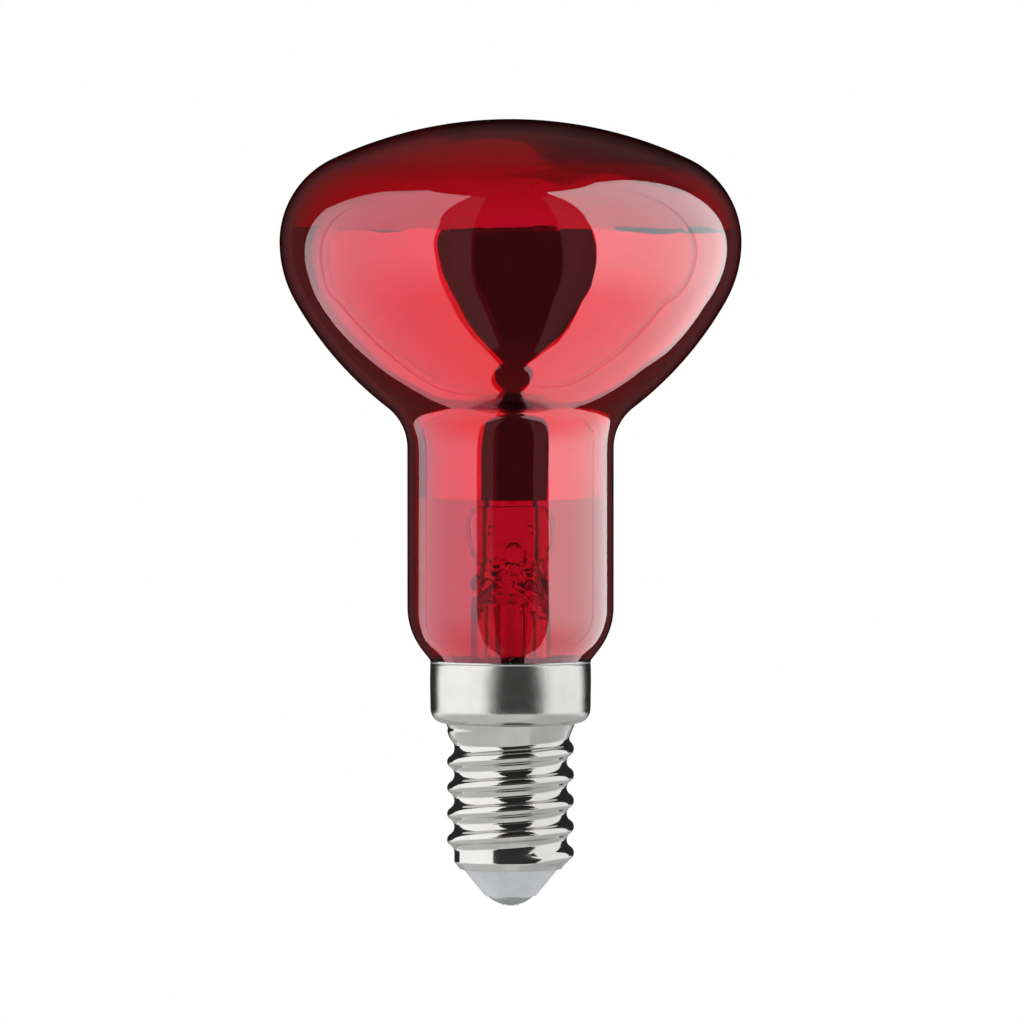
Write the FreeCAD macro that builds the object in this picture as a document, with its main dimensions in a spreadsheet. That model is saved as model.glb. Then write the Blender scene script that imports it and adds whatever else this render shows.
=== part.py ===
import FreeCAD, Part
import math
import os
import types

import Sketcher

# Driving dimensions, in millimetres and degrees
sizes = {
    # screw cap, stacked up from the tip of the contact
    "contact_height": 0.98,
    "contact_diameter": 4.7,
    "contact_edge": 0.12,
    "solder_diameter": 1.8,
    "insulator_height": 2.97,
    "insulator_tip_diameter": 5.8,
    "insulator_depth": 2.3,
    "insulator_gap": 0.02,
    "screw_length": 15.8,
    "skirt_height": 6.45,
    "skirt_ledge": 1.99,
    "skirt_corner": 0.95,
    "collar_inset": 0.15,
    "collar_height": 1.85,
    "collar_fillet": 0.65,
    "collar_step": 0.45,
    "shell_wall": 0.25,
    "curl_radius": 0.85,
    # rolled thread
    "thread_diameter": 13.74,
    "thread_depth": 0.78,
    "thread_pitch": 2.82,
    "thread_turns": 4.4,
    "thread_start": 1.74,
    "groove_lag": 15.0,
    "crest_radius": 0.6,
    "flank_angle": 45.0,
    # blown glass bulb, measured up from the rim of the skirt
    "bulb_diameter": 50.0,
    "equator_rise": 45.62,
    "dome_rise": 13.3,
    "shoulder_radius": 9.95,
    "belly_radius": 13.0,
    "belly_angle": 29.5,
    "flank_radius": 38.4,
    "throat_radius": 5.5,
    "neck_diameter": 22.34,
    "corner_radius": 7.5,
    "taper_angle": 38.0,
    "rim_clearance": 0.04,
    "seal_fillet": 1.5,
    "seal_depth": 4.0,
    "glass_wall": 0.8,
    # mirror film on the inside of the glass
    "mirror_gap": 0.02,
    "mirror_film": 0.08,
    "mirror_rise": 2.4,
    "mirror_foot_rise": 18.4,
    # cement between neck end and skirt
    "cement_wall": 0.9,
    "cement_lift": 0.3,
    "cement_height": 2.0,
    # glass stem
    "stem_diameter": 8.6,
    "stem_wall": 0.7,
    "stem_rise": 11.0,
    "press_taper": 3.5,
    "press_height": 10.0,
    "press_width": 9.6,
    "press_thickness": 3.8,
    "blow_hole_diameter": 2.4,
    "blow_hole_rise": 4.2,
    "exhaust_diameter": 3.4,
    "exhaust_wall": 0.55,
    "exhaust_length": 16.5,
    # support rod and its button
    "rod_diameter": 2.0,
    "rod_length": 10.0,
    "button_diameter": 3.6,
    # filament ring and the wires that hold it
    "coil_diameter": 0.84,
    "filament_diameter": 13.6,
    "filament_rise": 19.3,
    "filament_span": 250.0,
    "filament_tail": 6.0,
    "hook_clearance": 0.05,
    "hook_drop": 2.2,
    "hook_tail": 0.1,
    "support_diameter": 0.24,
    "support_seat": 0.5,
    "inner_lead_diameter": 0.6,
    "inner_lead_rise": 5.0,
    "seal_wire_diameter": 0.5,
    "outer_lead_diameter": 0.4,
    "wire_bend": 1.2,
    # wire routes inside the cap
    "lead_clearance": 0.25,
    "centre_lead_fall": 2.7,
    "centre_lead_rise": 2.75,
    "lead_tip": 0.3,
    "side_lead_fall": 1.3,
    "side_lead_tail": 1.45,
    "notch_width": 0.6,
    "notch_depth": 1.1,
    # solder bead on the rim
    "bead_diameter": 1.2,
    "bead_offset": 0.1,
    "bead_clearance": 0.03,
}

support_count = 3
shortest_run = 1e-6  # a straight run of wire below this length is left out
volume_slack = 0.02  # share by which a wire may differ from its section times its length

doc = FreeCAD.newDocument("heat_lamp")
sheet = doc.addObject("Spreadsheet::Sheet", "Sizes")
for row, (alias, number) in enumerate(sizes.items(), start=1):
    sheet.set("A%d" % row, alias)
    sheet.set("B%d" % row, str(number))
    sheet.setAlias("B%d" % row, alias)
doc.recompute()


class Size:
    """A dimension that carries its number and the sheet expression that gives it."""

    def __init__(self, value, text):
        self.value = value
        self.text = text

    def __add__(self, other):
        other = as_size(other)
        return Size(self.value + other.value, "(%s + %s)" % (self.text, other.text))

    def __sub__(self, other):
        other = as_size(other)
        return Size(self.value - other.value, "(%s - %s)" % (self.text, other.text))

    def __mul__(self, other):
        other = as_size(other)
        return Size(self.value * other.value, "(%s * %s)" % (self.text, other.text))

    def __truediv__(self, other):
        other = as_size(other)
        return Size(self.value / other.value, "(%s / %s)" % (self.text, other.text))


def as_size(item):
    if isinstance(item, Size):
        return item
    return Size(float(item), repr(float(item)))


d = types.SimpleNamespace(**{a: Size(float(sheet.get(a)), "Sizes." + a) for a in sizes})
zero = Size(0.0, "0.0")

# Levels and radii that several pieces share
shell_foot = d.contact_height + d.insulator_height
skirt_floor = shell_foot + d.screw_length
rim = skirt_floor + d.skirt_height
crest_r = d.thread_diameter / 2
root_r = crest_r - d.thread_depth
collar_r = crest_r - d.collar_inset
skirt_r = collar_r + d.skirt_ledge
skirt_bore_r = skirt_r - d.shell_wall
curl_r = root_r - d.curl_radius
insulator_top = shell_foot + d.insulator_depth
seal_r = skirt_bore_r - d.cement_wall
seal_end = rim - d.seal_depth
bulb_r = d.bulb_diameter / 2
neck_r = d.neck_diameter / 2
equator = rim + d.equator_rise
apex = equator + d.dome_rise
mirror_top = equator + d.mirror_rise
mirror_foot = rim + d.mirror_foot_rise
stem_r = d.stem_diameter / 2
flare_r = seal_r - d.glass_wall
press_foot = seal_end + d.stem_rise
press_top = press_foot + d.press_height
exhaust_r = d.exhaust_diameter / 2
exhaust_bore_r = exhaust_r - d.exhaust_wall
exhaust_foot = press_foot - d.exhaust_length
lead_offset = (exhaust_r + stem_r - d.stem_wall) / 2
button_centre = press_top + d.rod_length
filament_r = d.filament_diameter / 2
filament_level = press_top + d.filament_rise
coil_r = d.coil_diameter / 2


def vector(r, z):
    return FreeCAD.Vector(r, z, 0)


def new_body(label):
    body = doc.addObject("PartDesign::Body", label)
    body.Label = label
    return body


def new_sketch(body, name, role="XZ_Plane"):
    sketch = body.newObject("Sketcher::SketchObject", body.Name + "_" + name)
    plane = next(f for f in body.Origin.OriginFeatures if f.Role == role)
    sketch.AttachmentSupport = (plane, "")
    sketch.MapMode = "FlatFace"
    return sketch


def constrain(sketch, kind, *references):
    return sketch.addConstraint(Sketcher.Constraint(kind, *references))


def dimension(sketch, kind, references, size):
    value = math.radians(size.value) if kind == "Angle" else size.value
    index = constrain(sketch, kind, *references, value)
    sketch.setExpression("Constraints[%d]" % index, size.text)


def place_point(sketch, geometry, position, r, z):
    if r.value == 0:
        constrain(sketch, "PointOnObject", geometry, position, -2)
    else:
        dimension(sketch, "DistanceX", (-1, 1, geometry, position), r)
    if z.value == 0:
        constrain(sketch, "PointOnObject", geometry, position, -1)
    else:
        dimension(sketch, "DistanceY", (-1, 1, geometry, position), z)


def add_line(sketch, start, end):
    """A straight edge, with the numbers of its first and last points."""
    return sketch.addGeometry(Part.LineSegment(start, end)), 1, 2


def add_arc(sketch, centre, radius, first, last):
    """An arc run from the angle first to the angle last, either way round."""
    circle = Part.Circle(centre, FreeCAD.Vector(0, 0, 1), radius)
    low, high = min(first, last), max(first, last)
    index = sketch.addGeometry(Part.ArcOfCircle(circle, low, high))
    return (index, 1, 2) if last > first else (index, 2, 1)


def add_bend(sketch, start, end, radius, side):
    """The short arc of a radius between two points, turning left for side 1 and right for side -1."""
    chord = end - start
    depth = math.sqrt(max(radius ** 2 - chord.Length ** 2 / 4, 0))
    left = FreeCAD.Vector(-chord.y, chord.x, 0).normalize()
    centre = (start + end) / 2 + left * depth * side
    first = math.atan2(start.y - centre.y, start.x - centre.x)
    turn = side * 2 * math.asin(min(chord.Length / 2 / radius, 1))
    return add_arc(sketch, centre, radius, first, first + turn)


def draw_outline(sketch, corners):
    """A closed outline. A corner is (r, z), or (r, z, radius, side) where an arc leads to the next one."""
    edges = []
    for corner, following in zip(corners, corners[1:] + corners[:1]):
        start = vector(corner[0].value, corner[1].value)
        end = vector(following[0].value, following[1].value)
        if len(corner) == 4:
            edges.append(add_bend(sketch, start, end, corner[2].value, corner[3]))
        else:
            edges.append(add_line(sketch, start, end))
    for edge, following in zip(edges, edges[1:] + edges[:1]):
        constrain(sketch, "Coincident", edge[0], edge[2], following[0], following[1])
    for edge, corner in zip(edges, corners):
        place_point(sketch, edge[0], edge[1], corner[0], corner[1])
        if len(corner) == 4:
            dimension(sketch, "Radius", (edge[0],), corner[2])


def revolve(body, sketch):
    feature = body.newObject("PartDesign::Revolution", body.Name + "_turned")
    feature.Profile = sketch
    feature.ReferenceAxis = (sketch, ["V_Axis"])
    feature.Angle = 360
    sketch.Visibility = False
    return feature


def turned_piece(label, corners):
    body = new_body(label)
    sketch = new_sketch(body, "section")
    draw_outline(sketch, corners)
    revolve(body, sketch)
    return body


def cut_away(label, base, tools):
    """The base with each tool taken out of it in turn."""
    for tool in tools:
        cut = doc.addObject("Part::Cut", label + "_cut")
        cut.Base = base
        cut.Tool = tool
        base = cut
    base.Label = label
    return base


def cylinder(label, radius, foot, height):
    piece = doc.addObject("Part::Cylinder", label)
    piece.Label = label
    piece.setExpression("Radius", radius.text)
    piece.setExpression("Height", height.text)
    piece.setExpression("Placement.Base.z", foot.text)
    return piece


# Glass bulb and its mirror: a chain of tangent arcs

def bulb_segments(inset):
    """Lines and arcs of the bulb's outline, moved in from the outer skin by inset, top to bottom."""
    belly = math.radians(d.belly_angle.value)
    taper = math.radians(d.taper_angle.value)
    shoulder = d.shoulder_radius.value - inset
    reach = bulb_r.value - d.shoulder_radius.value
    rise = d.dome_rise.value - inset
    dome = (reach ** 2 + rise ** 2 - shoulder ** 2) / (2 * (rise - shoulder))
    dome_centre = equator.value + rise - dome
    meet = math.atan2(equator.value - dome_centre, reach)
    outward = vector(math.cos(belly), -math.sin(belly))
    belly_centre = vector(bulb_r.value - d.belly_radius.value, equator.value)
    flank = d.flank_radius.value - inset
    flank_centre = belly_centre + outward * (d.belly_radius.value - d.flank_radius.value)
    throat = d.throat_radius.value + inset
    across = neck_r.value + d.throat_radius.value - flank_centre.x
    drop = math.sqrt((flank + throat) ** 2 - across ** 2)
    throat_centre = vector(flank_centre.x + across, flank_centre.y - drop)
    swing = math.atan2(drop, across)
    corner = d.corner_radius.value
    taper_out = vector(math.cos(taper), -math.sin(taper))
    corner_x = neck_r.value - corner
    taper_top = corner_x + corner * math.cos(taper)
    seat = skirt_bore_r.value - d.rim_clearance.value
    corner_level = rim.value + (taper_top - seat) / math.tan(taper) + corner * math.sin(taper)
    corner_centre = vector(corner_x, corner_level)
    fillet = d.seal_fillet.value
    fillet_x = seal_r.value + fillet
    bend = corner_centre + taper_out * corner
    fillet_level = bend.y + ((fillet_x - bend.x) * math.cos(taper) - fillet) / math.sin(taper)
    fillet_centre = vector(fillet_x, fillet_level)
    neck_x = neck_r.value - inset
    seal_x = seal_r.value - inset
    return {
        "dome": (vector(0, dome_centre), dome, math.pi / 2, meet),
        "shoulder": (vector(reach, equator.value), shoulder, meet, 0),
        "belly": (belly_centre, d.belly_radius.value - inset, 0, -belly),
        "flank": (flank_centre, flank, -belly, -swing),
        "throat": (throat_centre, throat, math.pi - swing, math.pi),
        "neck": (vector(neck_x, throat_centre.y), vector(neck_x, corner_level)),
        "corner": (corner_centre, corner - inset, 0, -taper),
        "taper": (corner_centre + taper_out * (corner - inset), fillet_centre - taper_out * (fillet + inset)),
        "seal_bend": (fillet_centre, fillet + inset, math.pi - taper, math.pi),
        "seal": (vector(seal_x, fillet_level), vector(seal_x, seal_end.value)),
    }


def draw_chain(sketch, segments):
    """Draws the segments end to end and makes each tangent to the next."""
    chain = {}
    for name, segment in segments.items():
        chain[name] = add_line(sketch, *segment) if len(segment) == 2 else add_arc(sketch, *segment)
    edges = list(chain.values())
    for edge, following in zip(edges, edges[1:]):
        constrain(sketch, "Tangent", edge[0], edge[2], following[0], following[1])
    return chain


def size_reflector(sketch, chain, inset):
    """Dimensions from the shoulder down to the neck, which the glass and the mirror share."""
    shoulder, belly, neck = chain["shoulder"], chain["belly"], chain["neck"]
    constrain(sketch, "Horizontal", shoulder[0], 3, shoulder[0], shoulder[2])
    place_point(sketch, belly[0], belly[1], bulb_r - inset, equator)
    dimension(sketch, "Radius", (shoulder[0],), d.shoulder_radius - inset)
    dimension(sketch, "Radius", (belly[0],), d.belly_radius - inset)
    dimension(sketch, "Angle", (belly[0],), d.belly_angle)
    dimension(sketch, "Radius", (chain["flank"][0],), d.flank_radius - inset)
    dimension(sketch, "Radius", (chain["throat"][0],), d.throat_radius + inset)
    constrain(sketch, "Vertical", neck[0])
    dimension(sketch, "DistanceX", (-1, 1, neck[0], neck[1]), neck_r - inset)


def size_bulb_ends(sketch, chain, inset):
    """Dimensions of the dome's top and of the tapered neck end."""
    dome, corner, seal = chain["dome"], chain["corner"], chain["seal"]
    constrain(sketch, "PointOnObject", dome[0], 3, -2)
    place_point(sketch, dome[0], dome[1], zero, apex - inset)
    dimension(sketch, "Radius", (corner[0],), d.corner_radius - inset)
    dimension(sketch, "Angle", (corner[0],), d.taper_angle)
    dimension(sketch, "Radius", (chain["seal_bend"][0],), d.seal_fillet + inset)
    constrain(sketch, "Vertical", seal[0])
    place_point(sketch, seal[0], seal[2], seal_r - inset, seal_end)


def join_ends(sketch, one, other):
    """A straight edge from the end of one segment to the end of another."""
    ends = [sketch.getPoint(edge, point) for edge, point in (one, other)]
    line, first, last = add_line(sketch, *ends)
    constrain(sketch, "Coincident", line, first, *one)
    constrain(sketch, "Coincident", line, last, *other)


def make_glass_bulb():
    body = new_body("glass_bulb")
    sketch = new_sketch(body, "section")
    outer = draw_chain(sketch, bulb_segments(0.0))
    inner = draw_chain(sketch, bulb_segments(d.glass_wall.value))
    for chain, inset in ((outer, zero), (inner, d.glass_wall)):
        size_reflector(sketch, chain, inset)
        size_bulb_ends(sketch, chain, inset)
    # the taper passes just inside the rim of the skirt
    seat_r = skirt_bore_r - d.rim_clearance
    seat = sketch.addGeometry(Part.Point(vector(seat_r.value, rim.value)), True)
    place_point(sketch, seat, 1, seat_r, rim)
    constrain(sketch, "PointOnObject", seat, 1, outer["taper"][0])
    constrain(sketch, "Horizontal", inner["neck"][0], inner["neck"][2], outer["neck"][0], outer["neck"][2])
    join_ends(sketch, (outer["seal"][0], outer["seal"][2]), (inner["seal"][0], inner["seal"][2]))
    join_ends(sketch, (inner["dome"][0], inner["dome"][1]), (outer["dome"][0], outer["dome"][1]))
    revolve(body, sketch)
    return body


def mirror_segments(inset):
    """The bulb's segments that carry the mirror, cut off at its upper and lower edges."""
    segments = bulb_segments(inset)
    centre, radius, _, _ = segments["shoulder"]
    start = math.asin(d.mirror_rise.value / radius)
    neck_top = segments["neck"][0]
    return {
        "shoulder": (centre, radius, start, 0),
        "belly": segments["belly"],
        "flank": segments["flank"],
        "throat": segments["throat"],
        "neck": (neck_top, vector(neck_top.x, mirror_foot.value)),
    }


def make_mirror_coating():
    body = new_body("mirror_coating")
    sketch = new_sketch(body, "section")
    outer_inset = d.glass_wall + d.mirror_gap
    inner_inset = outer_inset + d.mirror_film
    chains = []
    for inset in (outer_inset, inner_inset):
        chain = draw_chain(sketch, mirror_segments(inset.value))
        size_reflector(sketch, chain, inset)
        shoulder, neck = chain["shoulder"], chain["neck"]
        dimension(sketch, "DistanceY", (-1, 1, shoulder[0], shoulder[1]), mirror_top)
        dimension(sketch, "DistanceY", (-1, 1, neck[0], neck[2]), mirror_foot)
        chains.append(chain)
    outer, inner = chains
    join_ends(sketch, (outer["neck"][0], outer["neck"][2]), (inner["neck"][0], inner["neck"][2]))
    tops = [(chain["shoulder"][0], chain["shoulder"][1]) for chain in (inner, outer)]
    join_ends(sketch, *tops)
    revolve(body, sketch)
    return body


# Screw cap

def ridge_section(body, name, inset, foot_r, lag):
    """Section of the rolled ridge: a round crest between two straight flanks, closed at foot_r.

    It stands at lag degrees along the thread."""
    sketch = new_sketch(body, name)
    upright = FreeCAD.Vector(0, 1, 0)
    sketch.AttachmentOffset = FreeCAD.Placement(FreeCAD.Vector(), FreeCAD.Rotation(upright, lag.value))
    sketch.setExpression("AttachmentOffset.Rotation.Angle", lag.text)
    level = shell_foot + d.thread_start + d.thread_pitch * lag / 360
    slope = math.radians(d.flank_angle.value)
    crest = d.crest_radius - inset
    centre_r = crest_r - d.crest_radius
    centre = vector(centre_r.value, level.value)
    touch = [vector(math.sin(slope), side * math.cos(slope)) * crest.value + centre for side in (-1, 1)]
    run = math.tan(slope) * (touch[0].x - foot_r.value)
    feet = [vector(foot_r.value, point.y + side * run) for side, point in zip((-1, 1), touch)]
    lower = add_line(sketch, feet[0], touch[0])
    arc = add_arc(sketch, centre, crest.value, slope - math.pi / 2, math.pi / 2 - slope)
    upper = add_line(sketch, touch[1], feet[1])
    back = add_line(sketch, feet[1], feet[0])
    constrain(sketch, "Tangent", lower[0], lower[2], arc[0], arc[1])
    constrain(sketch, "Tangent", arc[0], arc[2], upper[0], upper[1])
    constrain(sketch, "Coincident", upper[0], upper[2], back[0], back[1])
    constrain(sketch, "Coincident", back[0], back[2], lower[0], lower[1])
    constrain(sketch, "Vertical", back[0])
    dimension(sketch, "DistanceX", (-1, 1, back[0], back[1]), foot_r)
    dimension(sketch, "Radius", (arc[0],), crest)
    place_point(sketch, arc[0], 3, centre_r, level)
    dimension(sketch, "Angle", (lower[0],), d.flank_angle)
    dimension(sketch, "Angle", (upper[0],), as_size(180) - d.flank_angle)
    return sketch


def add_helix(body, kind, name, sketch, turns):
    helix = body.newObject("PartDesign::" + kind, body.Name + "_" + name)
    helix.Profile = sketch
    helix.ReferenceAxis = (sketch, ["V_Axis"])
    helix.Mode = "pitch-turns-angle"
    helix.setExpression("Pitch", d.thread_pitch.text)
    helix.setExpression("Turns", turns.text)
    helix.LeftHanded = False
    sketch.Visibility = False


def make_cap_shell():
    body = new_body("cap_shell")
    section = new_sketch(body, "section")
    wall = d.shell_wall
    collar_foot = skirt_floor - d.collar_height
    step_foot = collar_foot - d.collar_step
    draw_outline(section, [
        (skirt_r, rim),
        (skirt_bore_r, rim),
        (skirt_bore_r, skirt_floor + d.skirt_corner, d.skirt_corner - wall, -1),
        (skirt_r - d.skirt_corner, skirt_floor + wall),
        (collar_r + d.collar_fillet, skirt_floor + wall, d.collar_fillet + wall, 1),
        (collar_r - wall, skirt_floor - d.collar_fillet),
        (collar_r - wall, collar_foot + wall / 2),
        (root_r - wall, step_foot + wall / 2),
        (root_r - wall, shell_foot + d.curl_radius, d.curl_radius - wall, -1),
        (curl_r, shell_foot + wall),
        (curl_r, shell_foot, d.curl_radius, 1),
        (root_r, shell_foot + d.curl_radius),
        (root_r, step_foot),
        (collar_r, collar_foot),
        (collar_r, skirt_floor - d.collar_fillet, d.collar_fillet, -1),
        (collar_r + d.collar_fillet, skirt_floor),
        (skirt_r - d.skirt_corner, skirt_floor, d.skirt_corner, 1),
        (skirt_r, skirt_floor + d.skirt_corner),
    ])
    revolve(body, section)
    doc.recompute()
    ridge = ridge_section(body, "ridge", zero, root_r - wall / 2, zero)
    add_helix(body, "AdditiveHelix", "thread", ridge, d.thread_turns)
    doc.recompute()
    # the groove behind the ridge stops short of both its ends, which closes them
    groove = ridge_section(body, "groove", wall, root_r - wall * 2, d.groove_lag)
    add_helix(body, "SubtractiveHelix", "thread_inside", groove, d.thread_turns - d.groove_lag / 180)
    doc.recompute()
    # slot in the rim, at the back, that the side lead leaves by
    notch = new_sketch(body, "notch")
    half = d.notch_width / 2
    low, high = rim - d.notch_depth, rim + d.notch_depth
    left = zero - half
    draw_outline(notch, [(left, low), (half, low), (half, high), (left, high)])
    before = body.Shape.Volume
    pocket = body.newObject("PartDesign::Pocket", "cap_shell_notch_cut")
    pocket.Profile = notch
    pocket.setExpression("Length", (skirt_r + wall).text)
    doc.recompute()
    if body.Shape.Volume >= before:
        raise RuntimeError("the notch in the rim cuts nothing")
    return body


def make_cap_insulator(lead_bore_r):
    gap = d.insulator_gap
    lip_r = curl_r - gap
    seat_r = root_r - d.shell_wall - gap
    lip_top = shell_foot + d.shell_wall + gap
    return turned_piece("cap_insulator", [
        (lead_bore_r, d.contact_height),
        (d.insulator_tip_diameter / 2, d.contact_height),
        (lip_r, shell_foot),
        (lip_r, lip_top),
        (curl_r, lip_top, d.curl_radius - d.shell_wall - gap, 1),
        (seat_r, shell_foot + d.curl_radius),
        (seat_r, insulator_top),
        (lead_bore_r, insulator_top),
    ])


def make_contact_plate():
    solder_r = d.solder_diameter / 2
    contact_r = d.contact_diameter / 2
    depth = d.contact_height - d.contact_edge
    # the dome's centre lies on the axis, so that it runs level into the solder
    span = contact_r * contact_r - solder_r * solder_r
    dome_level = (span + depth * depth) / (depth * 2)
    dome_r = math.hypot(solder_r.value, dome_level.value)
    dome = Size(dome_r, "sqrt(%s + %s)" % ((solder_r * solder_r).text, (dome_level * dome_level).text))
    return turned_piece("contact_plate", [
        (solder_r, d.contact_height),
        (solder_r, zero, dome, 1),
        (contact_r, depth),
        (contact_r, d.contact_height),
    ])


def make_cap_cement(glass, side_lead):
    foot = seal_end + d.cement_lift
    ring = cylinder("cement_outer", skirt_bore_r, foot, d.cement_height)
    hole = cylinder("cement_inner", seal_r - d.glass_wall / 2, foot, d.cement_height)
    return cut_away("cap_cement", ring, [hole, glass, side_lead])


def make_rim_solder(tools):
    """A bead on the rim, as high as it can sit with a clearance to the glass taper above it."""
    bead_r = d.bead_diameter / 2
    outward = d.shell_wall + d.rim_clearance + d.bead_offset
    drop = "((%s - %s * cos(%s)) / sin(%s))" % (
        (bead_r + d.bead_clearance).text, outward.text, d.taper_angle.text, d.taper_angle.text)
    bead = doc.addObject("Part::Sphere", "bead")
    bead.setExpression("Radius", bead_r.text)
    bead.setExpression("Placement.Base.y", (skirt_r + d.bead_offset).text)
    bead.setExpression("Placement.Base.z", "%s - %s" % (rim.text, drop))
    return cut_away("rim_solder", bead, tools)


# Glass stem

def make_stem_flare(seal_wires):
    wall = d.stem_wall
    flare = flare_r - stem_r
    bend_level = seal_end + wall + flare
    tube = turned_piece("stem_tube", [
        (flare_r, seal_end),
        (flare_r, seal_end + wall, flare, -1),
        (stem_r, bend_level),
        (stem_r, press_foot),
        (stem_r - wall, press_foot),
        (stem_r - wall, bend_level, flare + wall, 1),
    ])
    round_end = doc.addObject("Part::Circle", "press_round")
    round_end.setExpression("Radius", stem_r.text)
    round_end.setExpression("Placement.Base.z", press_foot.text)
    flat_end = doc.addObject("Part::Ellipse", "press_flat")
    flat_end.setExpression("MajorRadius", (d.press_width / 2).text)
    flat_end.setExpression("MinorRadius", (d.press_thickness / 2).text)
    flat_end.setExpression("Placement.Base.z", (press_foot + d.press_taper).text)
    pinch = doc.addObject("Part::Loft", "press_pinch")
    pinch.Sections = [round_end, flat_end]
    pinch.Solid = True
    blade = doc.addObject("Part::Extrusion", "press_blade")
    blade.Base = flat_end
    blade.DirMode = "Custom"
    blade.Dir = FreeCAD.Vector(0, 0, 1)
    blade.Solid = True
    blade.setExpression("LengthFwd", (d.press_height - d.press_taper).text)
    joined = doc.addObject("Part::MultiFuse", "stem_joined")
    joined.Shapes = [tube, pinch, blade]
    # the pump bore rises into the press and leaves it through the blow hole at the front
    bore = cylinder("pump_bore", exhaust_bore_r, press_foot, d.blow_hole_rise)
    blow_hole = cylinder("blow_hole", d.blow_hole_diameter / 2, press_foot + d.blow_hole_rise, stem_r)
    blow_hole.Placement.Rotation = FreeCAD.Rotation(FreeCAD.Vector(1, 0, 0), 90)
    return cut_away("stem_flare", joined, [bore, blow_hole] + seal_wires)


def make_exhaust_tube():
    tip = exhaust_foot + exhaust_r
    return turned_piece("exhaust_tube", [
        (exhaust_r, press_foot),
        (exhaust_bore_r, press_foot),
        (exhaust_bore_r, tip, exhaust_bore_r, -1),
        (zero, tip - exhaust_bore_r),
        (zero, exhaust_foot, exhaust_r, 1),
        (exhaust_r, tip),
    ])


def make_support_rod(wires):
    rod_r = d.rod_diameter / 2
    button_r = d.button_diameter / 2
    neck = math.sqrt(button_r.value ** 2 - rod_r.value ** 2)
    neck_text = "sqrt(%s - %s)" % ((button_r * button_r).text, (rod_r * rod_r).text)
    body = new_body("support_rod_glass")
    sketch = new_sketch(body, "section")
    neck_level = button_centre - Size(neck, neck_text)
    # the button's arc runs from the rod out over its widest point, and then in to the axis
    draw_outline(sketch, [
        (zero, press_top),
        (rod_r, press_top),
        (rod_r, neck_level, button_r, 1),
        (button_r, button_centre, button_r, 1),
        (zero, button_centre + button_r),
    ])
    revolve(body, sketch)
    return cut_away("support_rod", body, wires)


# Bent wires: straight runs joined by tangent arcs

def bent_wire(label, points, bends, radius):
    """A round wire along the points, each inner point rounded to its bend radius."""
    edges = []
    start = points[0]
    for before, corner, after, bend in zip(points, points[1:], points[2:], bends):
        back = (before - corner).normalize()
        onward = (after - corner).normalize()
        half = back.getAngle(onward) / 2
        first = corner + back * (bend / math.tan(half))
        last = corner + onward * (bend / math.tan(half))
        inward = (back + onward).normalize()
        middle = corner + inward * (bend / math.sin(half) - bend)
        if start.distanceToPoint(first) > shortest_run:
            edges.append(Part.LineSegment(start, first).toShape())
        edges.append(Part.Arc(first, middle, last).toShape())
        start = last
    edges.append(Part.LineSegment(start, points[-1]).toShape())
    path = Part.Wire(edges)
    section = Part.Wire([Part.Circle(points[0], points[1] - points[0], radius).toShape()])
    shape = path.makePipeShell([section], True, False)
    expected = math.pi * radius ** 2 * path.Length
    if abs(shape.Volume - expected) > volume_slack * expected:
        raise RuntimeError("%s has volume %.3f, not %.3f" % (label, shape.Volume, expected))
    wire = doc.addObject("Part::Feature", label)
    wire.Label = label
    wire.Shape = shape
    wire.Placement = FreeCAD.Placement()
    return wire


def hook_points(azimuth, radius):
    """The eye that a wire of this radius makes round the coil, in the upright plane at an azimuth."""
    eye = coil_r.value + radius + d.hook_clearance.value
    middle, level = filament_r.value, filament_level.value
    flat = [
        (middle - eye, level - d.hook_drop.value),
        (middle - eye, level + eye),
        (middle + eye, level + eye),
        (middle + eye, level - eye),
        (middle - d.hook_tail.value, level - eye),
    ]
    return [polar(r, azimuth, z) for r, z in flat], eye


def polar(r, azimuth, z):
    angle = math.radians(azimuth)
    return FreeCAD.Vector(r * math.cos(angle), r * math.sin(angle), z)


def make_support_wires(start, step):
    wires = []
    radius = d.support_diameter.value / 2
    for index in range(support_count):
        azimuth = start + step * (index + 1)
        hook, eye = hook_points(azimuth, radius)
        seat = polar(d.support_seat.value, azimuth, button_centre.value)
        bends = [d.wire_bend.value, eye, eye, eye]
        wires.append(bent_wire("support_wire_%d" % (index + 1), [seat] + hook, bends, radius))
    return wires


def make_inner_lead(label, side, azimuth):
    radius = d.inner_lead_diameter.value / 2
    hook, eye = hook_points(azimuth, radius)
    foot_x = side * lead_offset.value
    route = [
        FreeCAD.Vector(foot_x, 0, press_top.value),
        FreeCAD.Vector(foot_x, 0, press_top.value + d.inner_lead_rise.value),
    ]
    bends = [d.wire_bend.value, d.wire_bend.value, eye, eye, eye]
    return bent_wire(label, route + hook, bends, radius)


def make_outer_lead_centre():
    """From the press, past the tip of the pump tube, onto the axis and down to the contact."""
    bend = exhaust_foot - d.centre_lead_fall
    axis = insulator_top + d.centre_lead_rise
    route = [
        FreeCAD.Vector(lead_offset.value, 0, press_foot.value),
        FreeCAD.Vector(lead_offset.value, 0, bend.value),
        FreeCAD.Vector(0, 0, axis.value),
        FreeCAD.Vector(0, 0, d.lead_tip.value),
    ]
    bends = [d.wire_bend.value] * 2
    return bent_wire("outer_lead_centre", route, bends, d.outer_lead_diameter.value / 2)


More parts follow.
